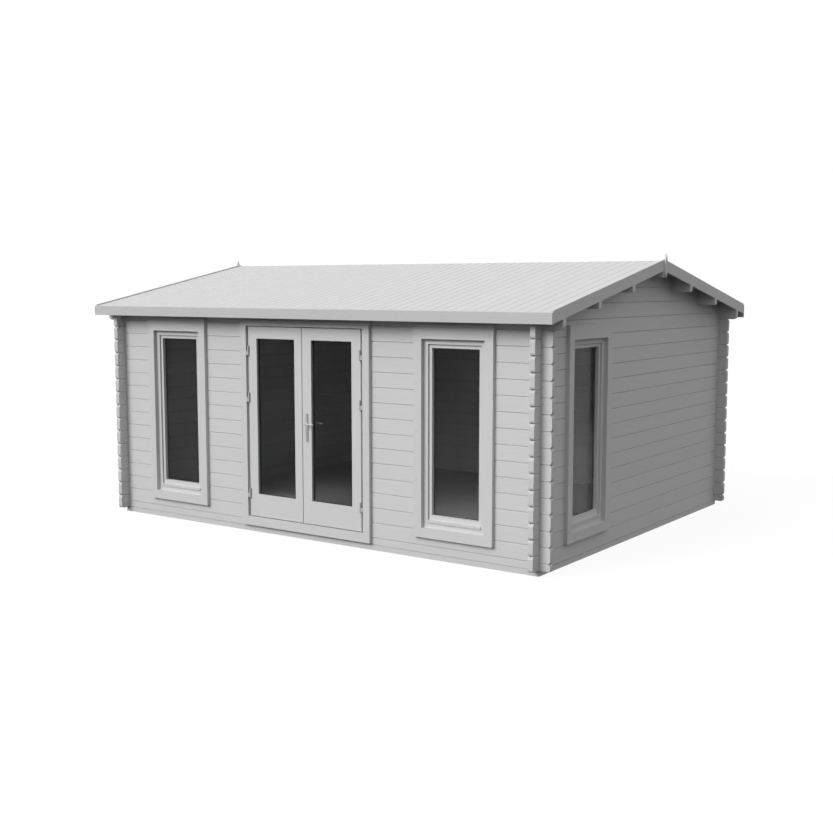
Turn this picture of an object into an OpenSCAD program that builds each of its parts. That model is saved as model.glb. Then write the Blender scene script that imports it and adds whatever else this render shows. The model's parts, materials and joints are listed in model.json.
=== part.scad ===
// Log cabin with an apex roof: walls of interlocking logs that cross at notched corners,
// a double glazed door, tall fixed windows, purlins, a boarded roof and trimmed eaves.
// Millimetres. +X runs along the door wall, -Y is the door side, +Z is up.
// The origin is on the ground, under the middle of the cabin.

/* [Walls] */
// Length of the door wall over its outer faces
wall_w = 4800; // [4400:10:5600]
// Depth of the cabin over the outer faces of its walls
wall_d = 3800; // [3500:10:4600]
// Thickness of a log
log_t = 45; // [34:1:70]
// Height of one log course
log_h = 131; // [114:1:140]
// Number of whole courses under the wall plates
course_count = 14; // [14:1:15]
// How far the log ends stand past the crossing wall
log_over = 100; // [60:1:140]
// Height of a wall plate at its outer face
plate_h = 158; // [120:1:190]

/* [Log profile] */
// Bevel along the four long edges of a log
log_bevel = 5; // [2:0.5:6]
// Width of the tongue on top of a log, at its foot
tongue_w = 18; // [12:1:22]
// Height of the tongue
tongue_h = 8; // [5:0.5:11]
// How much each flank of the tongue leans in
tongue_lean = 2; // [0:0.5:3]
// Play of the tongue in the groove above it
tongue_play = 0.5; // [0.3:0.1:1]
// Radius of the corners at the end of a log
log_end_r = 24; // [12:1:32]
// Play on each side of a log in a notch
notch_play = 0.5; // [0.2:0.1:1]

/* [Base and floor] */
// Height of the ground bearers and joists
bearer_h = 45; // [40:1:70]
// Width of the bearers under the walls
bearer_w = 70; // [60:1:90]
// Width of a joist
joist_w = 45; // [40:1:70]
// Number of joists between the end bearers
joist_count = 5; // [3:1:8]
// Thickness of the floor
floor_t = 26; // [18:1:32]
// Gap between the floor and the walls
floor_gap = 8; // [5:1:12]

/* [Roof] */
// Pitch of the roof in degrees
roof_pitch = 11.5; // [9:0.1:14]
// Thickness of the roof boards
deck_t = 18; // [15:1:24]
// Play between the roof boards and what carries them
deck_play = 0.1; // [0.05:0.05:0.3]
// How far the roof boards stand past the faces of the door wall and back wall
eave_over = 160; // [130:1:220]
// How far the roof stands past the gable walls
gable_over = 170; // [140:1:220]
// Distance between purlins, measured level
purlin_gap = 636; // [600:1:660]
// Height of a purlin at its middle
purlin_h = 130; // [120:1:150]
// Depth of the notch with which a purlin sits on the gable
purlin_notch = 10; // [6:1:16]
// Radius of the lower corners at the ends of the wall plates
plate_end_r = 40; // [20:1:60]
// Radius of the lower corners at the ends of the purlins
purlin_end_r = 8; // [4:1:20]

/* [Roof trim] */
// Height of the gable boards and of the front eave board, under the top of the roof
fascia_h = 88; // [70:1:120]
// How much lower the back eave board hangs
back_fascia_drop = 36; // [20:1:50]
// Thickness of the eave boards
fascia_t = 18; // [14:1:24]
// Play between the eave boards and the roof boards
fascia_play = 0.2; // [0.1:0.1:0.5]
// Thickness of the gable boards
barge_t = 18; // [14:1:24]
// How far the gable boards stand above the roof
barge_proud = 12; // [6:1:20]
// Width of the gable spike
spike_w = 32; // [20:1:50]
// Thickness of the gable spike
spike_t = 18; // [12:1:24]
// How far the spike stands above the gable boards
spike_rise = 50; // [30:1:80]
// How far the spike hangs below the gable boards
spike_drop = 60; // [30:1:90]

/* [Casings] */
// Thickness of the casing boards, inside and outside
casing_t = 34; // [28:1:40]
// Play between a frame and the logs
frame_play = 3; // [1:0.5:5]
// How far the casings reach up over the wall plate
casing_rise = 30; // [20:1:45]

/* [Windows] */
// Distance of the middle of a front window from the outer face of the gable beside it
window_x = 802; // [700:1:900]
// Distance of the gable window in front of the middle of the gable
gable_window_y = 1100; // [900:1:1200]
// Clear width between the window casings
window_w = 600; // [500:1:640]
// Width of a casing board beside a window
window_casing_w = 81; // [70:1:95]
// How far the outer casing lies back from the edge of a window lining
window_set = 6; // [2:1:12]
// How far the casing hangs below the cut in the logs
window_casing_drop = 56; // [45:1:70]
// Height of the window sill over the cut in the logs
window_sill = 32; // [26:1:45]
// Height of the window head under the top of the cut
window_head = 33; // [26:1:45]
// Thickness of the window lining
window_lining = 28; // [22:1:32]
// Width of the fixed rim around the sash
rim_w = 38; // [30:1:45]
// How far the rim lies behind the wall face
rim_set = 2; // [1:1:8]

/* [Window sash] */
// Play beside and over the sash
sash_play = 2; // [1:0.5:4]
// Width of the sash stiles and top rail
sash_w = 29; // [26:1:40]
// Height of the bottom rail of the sash
sash_foot = 64; // [50:1:80]
// Thickness of the sash
sash_t = 46; // [42:1:52]
// How far the sash lies behind the wall face
sash_set = 17; // [14:1:22]
// How far the pane lies behind the face of the sash
sash_pane_set = 31; // [26:1:32]
// How far the drip bar stands out
drip_out = 25; // [18:1:30]
// Height of the drip bar
drip_h = 20; // [14:1:28]
// Thickness of the window panes
pane_t = 8; // [6:1:14]
// Depth of the groove that holds a pane
pane_groove = 9; // [6:1:14]
// Play of a pane in its groove
pane_play = 0.3; // [0.2:0.1:0.5]

/* [Door frame] */
// Distance of the middle of the door from the middle of its wall
door_x = 0; // [-40:1:40]
// Clear width between the door jambs
door_w = 1320; // [1200:1:1400]
// Width of a casing board beside the door
door_casing_w = 71; // [60:1:110]
// How far the outer casing lies back from the edge of a jamb
casing_set = 16; // [10:1:20]
// Thickness of the door lining
door_lining = 32; // [26:1:38]
// Height of the threshold over the log that carries it
threshold_h = 36; // [30:1:55]
// Height of the door head under the wall plate
door_head_h = 22; // [18:1:50]
// How far the door casing hangs below the top of the log under the threshold
door_casing_drop = 48; // [35:1:60]
// Depth of the stop behind the leaves
stop_w = 16; // [12:1:22]
// Clearance between a leaf and the stop behind it
stop_gap = 5; // [5:1:8]

/* [Door leaves] */
// Thickness of a door leaf
leaf_t = 45; // [40:1:50]
// How far the face of a leaf stands in front of the wall face
leaf_proud = 24; // [18:1:28]
// Clearance beside a leaf at its jamb
leaf_gap = 8; // [5:1:10]
// Clearance above and below a leaf
leaf_end_gap = 8; // [6:1:12]
// Clearance between the two leaves
meeting_gap = 8; // [8:1:14]
// How far the meeting line lies left of the middle
meeting_shift = 10; // [0:1:20]
// Width of the stiles at the hinges
hinge_stile = 100; // [85:1:120]
// Width of the left leaf's stile at the meeting line
left_meeting_stile = 84; // [66:1:100]
// Width of the right leaf's stile at the meeting line
right_meeting_stile = 102; // [85:1:130]
// Height of the top rails
leaf_top_rail = 107; // [80:1:120]
// Height of the bottom rails
leaf_bottom_rail = 208; // [160:1:260]

/* [Hinges] */
// Height of the lowest hinge over the bottom of the leaf
low_hinge = 214; // [150:1:260]
// Distance of the top hinge below the top of the leaf
top_hinge = 222; // [150:1:260]
// Distance of the middle hinge below the top hinge
middle_hinge = 432; // [350:1:500]
// Radius of a hinge barrel
barrel_r = 8; // [7:0.5:9]
// Height of one half of a hinge
knuckle_h = 40; // [30:1:50]
// Gap between the two halves
knuckle_gap = 1; // [0.5:0.1:2]
// Radius of the hinge pin
hinge_pin_r = 5; // [4:0.1:5.5]
// Radial clearance of the hinge pin and of the handle spindle
running_play = 0.05; // [0.03:0.01:0.08]
// Distance of the hinge axis in front of the leaf
axis_out = 9; // [8.5:0.1:10]
// Distance of the hinge axis from the jamb
axis_in = 12; // [10:0.1:14]
// Thickness of the hinge lugs
lug_t = 6; // [5:0.5:8]

/* [Handle] */
// Height of the spindle over the bottom of the leaf
spindle_h = 906; // [800:1:950]
// Radius of the spindle
spindle_r = 8; // [7:0.5:9]
// Clearance of the spindle in the leaf
spindle_gap = 4; // [3:0.5:6]
// Width of a handle plate
plate_w = 28; // [24:1:50]
// Height of a handle plate
handle_plate_h = 254; // [200:1:260]
// Thickness of a handle plate
handle_plate_t = 8; // [6:1:10]
// How far the plate reaches above the spindle
plate_above = 92; // [70:1:110]
// Radius of the lever
lever_r = 8; // [7:0.5:10]
// Length of the lever from the spindle to the middle of its tip
lever_l = 98; // [90:1:140]
// Distance of the lever's middle from the face of the leaf
lever_out = 42; // [36:1:60]

/* [Hidden] */
$fn = 48;
half_w = wall_w / 2;
half_d = wall_d / 2;
// Extra length of every cut
overrun = 1;
// Steps in a rounded corner of a log
corner_steps = 3;
// Share of a course that a corner notch takes from the top and from the bottom of a log
notch_share = 1 / 4;
notch_d = log_h * notch_share;

// Heights of the wall
plate_z = bearer_h + log_h / 2 + course_count * log_h;
plate_top = plate_z + plate_h;
roof_rise = tan(roof_pitch);
ridge_z = plate_top + half_d * roof_rise;
// Least share of a course that gets a log of its own under the ridge
top_log_share = 0.35;
gable_courses = floor((ridge_z - bearer_h) / log_h + 1 - top_log_share);
purlin_rows = [0, 1, -1, 2, -2];
roof_half = half_w + gable_over;
beam_end = roof_half + barge_t;

// Openings in the logs
window_mid_x = half_w - window_x;
window_rough_w = window_w + 2 * window_lining;
window_rough_z = bearer_h + log_h * 3 / 2;
window_rough_top = bearer_h + log_h * course_count;
window_z = window_rough_z + window_sill;
window_top = window_rough_top - window_head;
window_casing_z = window_rough_z - window_casing_drop;
casing_top = plate_z + casing_rise;
door_rough_w = door_w + 2 * door_lining;
door_rough_z = bearer_h + log_h / 2;
door_z = door_rough_z + threshold_h;
door_top = plate_z - door_head_h;
door_casing_z = door_rough_z - door_casing_drop;

// Roof edges, measured level from the ridge line, and its top at the ridge
deck_end = half_d + eave_over;
fascia_in = deck_end + fascia_play;
fascia_out = fascia_in + fascia_t;
roof_top = ridge_z + deck_play + deck_t / cos(roof_pitch);
barge_peak = roof_top + barge_proud;
barge_valley = roof_top - fascia_h;

// Door leaves, measured from the middle of the door and from the wall face
jamb_x = door_w / 2;
axis_x = jamb_x - axis_in;
axis_y = -leaf_proud - axis_out;
leaf_z = door_z + leaf_end_gap;
leaf_h = door_top - door_z - 2 * leaf_end_gap;
left_leaf_w = jamb_x - leaf_gap - meeting_shift - meeting_gap / 2;
right_leaf_w = jamb_x - leaf_gap + meeting_shift - meeting_gap / 2;
spindle_z = leaf_z + spindle_h;
hinge_top_z = leaf_z + leaf_h - top_hinge;
hinge_heights = [leaf_z + low_hinge, hinge_top_z - middle_hinge, hinge_top_z];
spindle_x = -meeting_shift + meeting_gap / 2 + right_meeting_stile / 2;
stop_y = leaf_t - leaf_proud + stop_gap;

// Window sash, measured from the middle of the window
sash_opening = window_w - 2 * rim_w;
sash_outer_w = sash_opening - 2 * sash_play;
sash_z = window_z + rim_w;
sash_h = window_top - rim_w - sash_play - sash_z;
sash_pane_y = sash_set + sash_pane_set + pane_t / 2;

// Height of the underside of the roof boards at a distance from the ridge line
function roof_z(y) = ridge_z - abs(y) * roof_rise;
// A point of the front slope as [y, z], from its distance to the ridge line and its height over the roof top
function on_roof(y, over) = [-y, roof_top - y * roof_rise + over];
// A quarter round from one angle to the next, about a centre
function corner(centre, r, from) = [for (i = [0 : corner_steps])
    centre + r * [cos(from + 90 * i / corner_steps), sin(from + 90 * i / corner_steps)]];
// Height of the underside of a course of the front and back walls, where course 0 is a half log
function course_z(i) = bearer_h + (i == 0 ? 0 : (i - 1 / 2) * log_h);
function course_h(i) = i == 0 ? log_h / 2 : log_h;
// Height of the underside of a purlin
function purlin_z(row) = roof_z(row * purlin_gap) - purlin_h;
// Height of a gable log, where the topmost one reaches the ridge
function gable_h(i) = i < gable_courses - 1 ? log_h : ridge_z - bearer_h - i * log_h;

// Lays a section, drawn in Y and Z, along X between two ends
module along_x(from, to)
    translate([from, 0, 0]) rotate([90, 0, 90]) linear_extrude(to - from) children();
// Stands an outline, drawn in X and Z, in a wall between two faces
module across_wall(from, to)
    translate([0, to, 0]) rotate([90, 0, 0]) linear_extrude(to - from) children();
// Repeats on the other gable, on the back, or on both long sides
module both_ends() { children(); mirror([1, 0, 0]) children(); }
module to_back() mirror([0, 1, 0]) children();
module both_sides_y() { children(); to_back() children(); }
// Puts children, drawn with the wall face at zero and the outside at -Y, in the front or right wall
module in_front(x) translate([x, -half_d, 0]) children();
module at_door() in_front(door_x) children();
module in_right_gable() translate([half_w, -gable_window_y, 0]) rotate([0, 0, 90]) children();
module at_each_window() {
    in_front(-window_mid_x) children();
    in_front(window_mid_x) children();
    in_right_gable() children();
}

// Section of a log: bevelled edges, a groove below and a tongue on top
module log_section(h, groove) {
    a = log_t / 2;
    b = log_bevel;
    g = tongue_w / 2 + tongue_play;
    gd = groove ? tongue_h + tongue_play : 0;
    tg = tongue_w / 2;
    polygon(concat(
        [[-a, b], [-a + b, 0]],
        groove ? [[-g, 0], [-g + tongue_lean, gd], [g - tongue_lean, gd], [g, 0]] : [],
        [[a - b, 0], [a, b], [a, h - b], [a - b, h],
         [tg, h], [tg - tongue_lean, h + tongue_h], [-tg + tongue_lean, h + tongue_h], [-tg, h],
         [-a + b, h], [-a, h - b]]));
}

// Right half of a log's outline: rounded tip, and a notch at the crossing wall below and above
function half_outline(half, h, low) =
    let (r = min(log_end_r, h / 2), tip = half + log_over - r) concat(
    low > 0 ? [[half - log_t - notch_play, 0], [half - log_t - notch_play, low],
               [half + notch_play, low], [half + notch_play, 0]] : [],
    corner([tip, r], r, -90),
    corner([tip, h - r], r, 0),
    [[half + log_over - log_end_r, h + tongue_h],
     [half + notch_play, h + tongue_h], [half + notch_play, h - notch_d],
     [half - log_t - notch_play, h - notch_d], [half - log_t - notch_play, h + tongue_h]]);
function mirrored(points) = [for (i = [len(points) - 1 : -1 : 0]) [-points[i][0], points[i][1]]];

// A log that crosses the two walls beside it, centred in its own wall
module crossing_log(half, h, low) {
    side = half_outline(half, h, low);
    intersection() {
        along_x(-half - log_over, half + log_over) log_section(h, low > 0);
        across_wall(-log_t, log_t) polygon(concat(side, mirrored(side)));
    }
}

// The clear space of one opening through the logs
module opening(w, from, to)
    translate([-w / 2, -log_t, from]) cube([w, 3 * log_t, to - from]);
module window_opening() opening(window_rough_w, window_rough_z, window_rough_top);

// Every second course of the door wall or the back wall
module long_wall_course(i) translate([0, log_t / 2 - half_d, course_z(i)])
    crossing_log(half_w, course_h(i), i == 0 ? 0 : notch_d);
module front_logs(first) color("gainsboro")
    for (i = [first : 2 : course_count]) difference() {
        long_wall_course(i);
        in_front(-window_mid_x) window_opening();
        in_front(window_mid_x) window_opening();
        at_door() opening(door_rough_w, door_rough_z, plate_z + tongue_h);
    }
module front_logs_even() front_logs(0);
module front_logs_odd() front_logs(1);
module back_logs(first) color("gainsboro") to_back()
    for (i = [first : 2 : course_count]) long_wall_course(i);
module back_logs_even() back_logs(0);
module back_logs_odd() back_logs(1);

// One course of the right gable: it crosses the long walls, or ends at the plates higher up
module gable_course(i) translate([half_w - log_t / 2, 0, bearer_h + i * log_h]) rotate([0, 0, 90])
    if (i <= course_count) crossing_log(half_d, log_h, notch_d);
    else along_x(log_t + notch_play - half_d, half_d - log_t - notch_play) log_section(gable_h(i), true);
// Space taken by the roof, and by the purlins that lie in the gable
module over_gable() along_x(half_w - 2 * log_t, half_w + log_t) {
    polygon([[-half_d, plate_top], [0, ridge_z], [half_d, plate_top],
        [half_d, ridge_z + log_h], [-half_d, ridge_z + log_h]]);
    for (row = purlin_rows)
        translate([row * purlin_gap - log_t / 2 - notch_play, purlin_z(row) + purlin_notch])
            square([log_t + 2 * notch_play, ridge_z]);
}
module gable_tips_cut() both_sides_y()
    translate([half_w - 2 * log_t, half_d + notch_play, plate_z + log_h / 2])
        cube([3 * log_t, log_over + overrun, log_h]);
module gable_logs(first) color("gainsboro")
    for (i = [first : 2 : gable_courses - 1]) difference() {
        gable_course(i);
        over_gable();
        gable_tips_cut();
        children();
    }
module right_gable_logs_even() gable_logs(0) in_right_gable() window_opening();
module right_gable_logs_odd() gable_logs(1) in_right_gable() window_opening();
module left_gable_logs_even() mirror([1, 0, 0]) gable_logs(0);
module left_gable_logs_odd() mirror([1, 0, 0]) gable_logs(1);

// Outline of a plate or purlin, seen square to it: rounded lower ends and a notch on each gable wall
function beam_half(low, notch, r) = concat(
    [[half_w - log_t - notch_play, low], [half_w - log_t - notch_play, low + notch],
     [half_w + notch_play, low + notch], [half_w + notch_play, low]],
    corner([beam_end - r, low + r], r, -90),
    [[beam_end, ridge_z]]);
module beam_outline(low, notch, r) {
    side = beam_half(low, notch, r);
    polygon(concat(side, mirrored(side)));
}
// Space of the gable boards, which the ends of plates and purlins leave free
module barge_space() both_ends() along_x(roof_half, beam_end + overrun)
    polygon([on_roof(0, 0), on_roof(fascia_in, 0), on_roof(fascia_in, -fascia_h - fascia_play),
        [0, barge_valley - fascia_play], mirror_y(on_roof(fascia_in, -fascia_h - fascia_play)),
        mirror_y(on_roof(fascia_in, 0))]);
function mirror_y(point) = [-point[0], point[1]];
// Wall plate over the door wall, bevelled on top to carry the roof
module front_plate() color("gainsboro") difference() {
    intersection() {
        along_x(-beam_end, beam_end) translate([log_t / 2 - half_d, 0]) difference() {
            polygon([[-log_t / 2, plate_z + log_bevel], [log_bevel - log_t / 2, plate_z],
                [log_t / 2 - log_bevel, plate_z], [log_t / 2, plate_z + log_bevel],
                [log_t / 2, roof_z(half_d - log_t)], [-log_t / 2, roof_z(half_d)]]);
            polygon([[-tongue_w / 2 - tongue_play, plate_z - overrun], [-tongue_w / 2 - tongue_play, plate_z],
                [tongue_lean - tongue_w / 2 - tongue_play, plate_z + tongue_h + tongue_play],
                [tongue_w / 2 + tongue_play - tongue_lean, plate_z + tongue_h + tongue_play],
                [tongue_w / 2 + tongue_play, plate_z], [tongue_w / 2 + tongue_play, plate_z - overrun]]);
        }
        across_wall(-half_d - log_t, 2 * log_t - half_d) beam_outline(plate_z, notch_d, plate_end_r);
    }
    barge_space();
}
module back_plate() to_back() front_plate();
module purlin(row) color("gainsboro") {
    y = row * purlin_gap;
    low = purlin_z(row);
    difference() {
        intersection() {
            along_x(-beam_end, beam_end) intersection() {
                translate([y - log_t / 2, low]) square([log_t, ridge_z - low]);
                polygon([[-half_d, roof_z(half_d)], [0, ridge_z], [half_d, roof_z(half_d)],
                    [half_d, 0], [-half_d, 0]]);
            }
            across_wall(y - log_t, y + log_t) beam_outline(low, purlin_notch, purlin_end_r);
        }
        barge_space();
    }
}
module ridge_purlin() purlin(0);
module front_purlins() for (row = [-2, -1]) purlin(row);
module back_purlins() for (row = [1, 2]) purlin(row);

// Ground bearers, joists and floor
module long_bearers() color("darkgray") both_sides_y()
    translate([-half_w, -half_d, 0]) cube([wall_w, bearer_w, bearer_h]);
module cross_bearers() color("darkgray") {
    clear = wall_d - 2 * bearer_w;
    both_ends() translate([half_w - bearer_w, -clear / 2, 0]) cube([bearer_w, clear, bearer_h]);
    pitch = (wall_w - 2 * bearer_w) / (joist_count + 1);
    for (i = [1 : joist_count])
        translate([bearer_w - half_w + i * pitch - joist_w / 2, -clear / 2, 0])
            cube([joist_w, clear, bearer_h]);
}
module floor_deck() color("lightgray") {
    w = wall_w - 2 * log_t - 2 * floor_gap;
    d = wall_d - 2 * log_t - 2 * floor_gap;
    translate([-w / 2, -d / 2, bearer_h]) cube([w, d, floor_t]);
}

// Roof boards and trim of the front slope, mirrored for the back; their ends are cut plumb
module front_roof_deck() color("whitesmoke") along_x(-roof_half, roof_half)
    polygon([[0, ridge_z + deck_play], [-deck_end, roof_z(deck_end) + deck_play],
        on_roof(deck_end, 0), on_roof(0, 0)]);
module back_roof_deck() to_back() front_roof_deck();
module eave_board(drop) color("lightgray") along_x(-beam_end, beam_end) {
    foot = on_roof(fascia_out, -fascia_h - drop)[1];
    polygon([on_roof(fascia_in, 0), on_roof(fascia_out, 0), [-fascia_out, foot], [-fascia_in, foot]]);
}
module front_eave_board() eave_board(0);
module back_eave_board() to_back() eave_board(back_fascia_drop);
module front_gable_boards() color("lightgray") both_ends() along_x(roof_half, beam_end)
    polygon([on_roof(0, barge_proud), on_roof(fascia_in, barge_proud),
        on_roof(fascia_in, -fascia_h), on_roof(0, -fascia_h)]);
module back_gable_boards() to_back() front_gable_boards();
module gable_spikes() color("lightgray") both_ends()
    along_x(beam_end, beam_end + spike_t) {
        top = barge_peak + spike_rise;
        foot = barge_valley - spike_drop;
        polygon([[0, foot], [spike_w / 2, foot + spike_w], [spike_w / 2, top - spike_rise],
            [0, top], [-spike_w / 2, top - spike_rise], [-spike_w / 2, foot + spike_w]]);
    }

// A jamb: casing boards outside and inside, a lining between the logs, and a lip that starts at lip_y.
// The outer casing lies back from the edge of the lining by a set.
module frame_jamb(clear, set, casing, lining, lip, lip_y, from, to, outer_from, inner_from) {
    inner_y = max(lip_y, log_t);
    translate([clear + set, -casing_t, outer_from]) cube([casing, casing_t, casing_top - outer_from]);
    translate([clear, 0, from]) cube([lining - frame_play, log_t, to - from]);
    if (lip_y < log_t) translate([clear - lip, lip_y, from]) cube([lip, log_t - lip_y, to - from]);
    translate([clear, log_t, inner_from]) cube([casing, casing_t, casing_top - inner_from]);
    translate([clear - lip, inner_y, inner_from])
        cube([lip, log_t + casing_t - inner_y, casing_top - inner_from]);
}
// A rail across a frame, with the same boards, lining and lip, between the jambs.
// Its outer casing lies back from the edge of the lining by a rise.
module frame_rail(clear, set, rise, lip, lip_y, edge, lining_end, casing_end) {
    lip_edge = edge + sign(edge - casing_end) * lip;
    front_y = min(lip_y, log_t);
    module bar(w, y, d, a, b) translate([-w, y, min(a, b)]) cube([2 * w, d, abs(b - a)]);
    bar(clear + set, -casing_t, casing_t, edge + sign(casing_end - edge) * rise, casing_end);
    bar(clear, 0, front_y, edge, lining_end);
    if (lip_y < log_t) bar(clear - lip, lip_y, log_t - lip_y, edge, lining_end);
    bar(clear - lip, log_t, casing_t, edge, casing_end);
    bar(clear - lip, lip_y, log_t + casing_t - lip_y, lip_edge, edge);
}

// Windows: jambs, head and sill, sash and pane
module window_jambs() color("lightgray") at_each_window() both_ends()
    frame_jamb(window_w / 2, window_set, window_casing_w, window_lining, rim_w, rim_set,
        window_rough_z, window_rough_top - frame_play, window_casing_z, window_casing_z);
module window_rails() color("lightgray") at_each_window() {
    frame_rail(window_w / 2, window_set, window_set, rim_w, rim_set,
        window_top, window_rough_top - frame_play, casing_top);
    frame_rail(window_w / 2, window_set, window_set, rim_w, rim_set,
        window_z, window_rough_z, window_casing_z);
}
module pane_space(w, h, t) translate([-w / 2, -t / 2, 0]) cube([w, t, h]);
module window_sashes() color("lightgray") at_each_window() difference() {
    glass_w = sash_outer_w - 2 * sash_w;
    glass_h = sash_h - sash_w - sash_foot;
    union() {
        translate([-sash_outer_w / 2, sash_set, sash_z]) cube([sash_outer_w, sash_t, sash_h]);
        translate([-sash_outer_w / 2, sash_set - drip_out, sash_z + sash_play])
            cube([sash_outer_w, drip_out + overrun, drip_h]);
    }
    translate([-glass_w / 2, sash_set - overrun, sash_z + sash_foot])
        cube([glass_w, sash_t + 2 * overrun, glass_h]);
    translate([0, sash_pane_y, sash_z + sash_foot - pane_groove])
        pane_space(glass_w + 2 * pane_groove, glass_h + 2 * pane_groove, pane_t + 2 * pane_play);
}
module window_panes() color("dimgray") at_each_window()
    translate([0, sash_pane_y, sash_z + sash_foot - pane_groove])
        pane_space(sash_outer_w - 2 * sash_w + 2 * pane_groove - 2 * pane_play,
            sash_h - sash_w - sash_foot + 2 * pane_groove - pane_play, pane_t);

// Door frame
module door_jambs() color("lightgray") at_door() both_ends()
    frame_jamb(jamb_x, casing_set, door_casing_w, door_lining, stop_w, stop_y,
        door_rough_z, plate_z - frame_play, door_casing_z, door_rough_z);
module door_head() color("lightgray") at_door()
    frame_rail(jamb_x, casing_set, 0, stop_w, stop_y, door_top, plate_z - frame_play, casing_top);
module door_threshold() color("lightgray") at_door() {
    frame_rail(jamb_x, casing_set, 0, stop_w, stop_y, door_z, door_rough_z, door_rough_z);
    translate([-jamb_x - casing_set, -casing_t, door_casing_z])
        cube([door_w + 2 * casing_set, casing_t, door_rough_z - door_casing_z]);
}

// A door leaf, drawn with its meeting edge at zero and its hinge edge at +X
leaf_pane_h = leaf_h - leaf_top_rail - leaf_bottom_rail;
module leaf_groove(from, to) translate([from - pane_groove, leaf_t / 2 - leaf_proud - pane_t / 2 - pane_play,
    leaf_z + leaf_bottom_rail - pane_groove])
    cube([to - from + 2 * pane_groove, pane_t + 2 * pane_play, leaf_pane_h + 2 * pane_groove]);
module leaf_stiles(w, meeting) color("lightgray") difference() {
    union() {
        translate([0, -leaf_proud, leaf_z]) cube([meeting, leaf_t, leaf_h]);
        translate([w - hinge_stile, -leaf_proud, leaf_z]) cube([hinge_stile, leaf_t, leaf_h]);
    }
    leaf_groove(meeting, w - hinge_stile);
}
module leaf_rails(w, meeting) color("lightgray") difference() {
    translate([meeting, -leaf_proud, leaf_z]) {
        cube([w - hinge_stile - meeting, leaf_t, leaf_bottom_rail]);
        translate([0, 0, leaf_h - leaf_top_rail]) cube([w - hinge_stile - meeting, leaf_t, leaf_top_rail]);
    }
    leaf_groove(meeting, w - hinge_stile);
}
module leaf_pane(w, meeting) color("dimgray")
    translate([meeting - pane_groove + pane_play, leaf_t / 2 - leaf_proud - pane_t / 2,
        leaf_z + leaf_bottom_rail - pane_groove])
        cube([w - hinge_stile - meeting + 2 * pane_groove - 2 * pane_play, pane_t,
            leaf_pane_h + 2 * pane_groove - pane_play]);
module right_leaf() at_door() translate([meeting_gap / 2 - meeting_shift, 0, 0]) children();
module left_leaf() at_door() translate([-meeting_gap / 2 - meeting_shift, 0, 0]) mirror([1, 0, 0]) children();
module left_door_stiles() left_leaf() leaf_stiles(left_leaf_w, left_meeting_stile);
module left_door_rails() left_leaf() leaf_rails(left_leaf_w, left_meeting_stile);
module left_door_pane() left_leaf() leaf_pane(left_leaf_w, left_meeting_stile);
module right_door_stiles() difference() {
    right_leaf() leaf_stiles(right_leaf_w, right_meeting_stile);
    at_spindle() cylinder(r = spindle_r + spindle_gap, h = 4 * leaf_t, center = true);
}
module right_door_rails() right_leaf() leaf_rails(right_leaf_w, right_meeting_stile);
module right_door_pane() right_leaf() leaf_pane(right_leaf_w, right_meeting_stile);

// Barrel hinges: the lower half with its pin is on the jamb, the upper half on the leaf
module at_hinges() for (z = hinge_heights) translate([axis_x, axis_y, z]) children();
module jamb_hinge_halves() color("silver") at_door() both_ends() at_hinges() {
    translate([0, 0, -knuckle_h]) cylinder(r = barrel_r, h = knuckle_h);
    cylinder(r = hinge_pin_r, h = knuckle_h);
    translate([0, -lug_t / 2, -knuckle_h]) cube([axis_in + casing_set, lug_t, knuckle_h]);
}
module leaf_hinge_halves() color("silver") at_hinges() translate([0, 0, knuckle_gap]) difference() {
    union() {
        cylinder(r = barrel_r, h = knuckle_h);
        translate([-lug_t, 0, 0]) cube([lug_t, axis_out, knuckle_h]);
    }
    translate([0, 0, -overrun]) cylinder(r = hinge_pin_r + running_play, h = knuckle_h + 2 * overrun);
}
module right_leaf_hinge_halves() at_door() leaf_hinge_halves();
module left_leaf_hinge_halves() at_door() mirror([1, 0, 0]) leaf_hinge_halves();

// Lever handle with a plate on each face of the right leaf; +Z of the spindle points outwards
module at_spindle() at_door() translate([spindle_x, 0, spindle_z]) rotate([90, 0, 0]) children();
module handle_plates() color("silver") at_spindle() difference() {
    for (back = [leaf_proud, leaf_proud - leaf_t - handle_plate_t])
        translate([-plate_w / 2, plate_above - handle_plate_h, back])
            cube([plate_w, handle_plate_h, handle_plate_t]);
    cylinder(r = spindle_r + running_play, h = 4 * leaf_t, center = true);
}
module lever_arm(out) translate([0, 0, out]) {
    sphere(r = lever_r);
    rotate([0, 90, 0]) cylinder(r = lever_r, h = lever_l);
    translate([lever_l, 0, 0]) sphere(r = lever_r);
}
module lever_handle() color("silver") at_spindle() {
    outside = leaf_proud + lever_out;
    inside = leaf_proud - leaf_t - lever_out;
    translate([0, 0, inside]) cylinder(r = spindle_r, h = outside - inside);
    lever_arm(outside);
    lever_arm(inside);
}

long_bearers();
cross_bearers();
floor_deck();
front_logs_even();
front_logs_odd();
back_logs_even();
back_logs_odd();
left_gable_logs_even();
left_gable_logs_odd();
right_gable_logs_even();
right_gable_logs_odd();
front_plate();
back_plate();
ridge_purlin();
front_purlins();
back_purlins();
front_roof_deck();
back_roof_deck();
front_eave_board();
back_eave_board();
front_gable_boards();
back_gable_boards();
gable_spikes();
window_jambs();
window_rails();
window_sashes();
window_panes();
door_jambs();
door_head();
door_threshold();
left_door_stiles();
left_door_rails();
left_door_pane();
right_door_stiles();
right_door_rails();
right_door_pane();
jamb_hinge_halves();
left_leaf_hinge_halves();
right_leaf_hinge_halves();
handle_plates();
lever_handle();
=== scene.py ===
# %% [markdown]
# # Dressing a log cabin
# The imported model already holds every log, board and hinge in its right place. This lesson adds what the
# solids leave out: the finish of the timber, the separate boards of the roof and floor, the dark seals
# round the glass, the door furniture and the screws. A floor, a light and a camera then show it all.

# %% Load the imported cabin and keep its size
import json
import math

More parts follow.
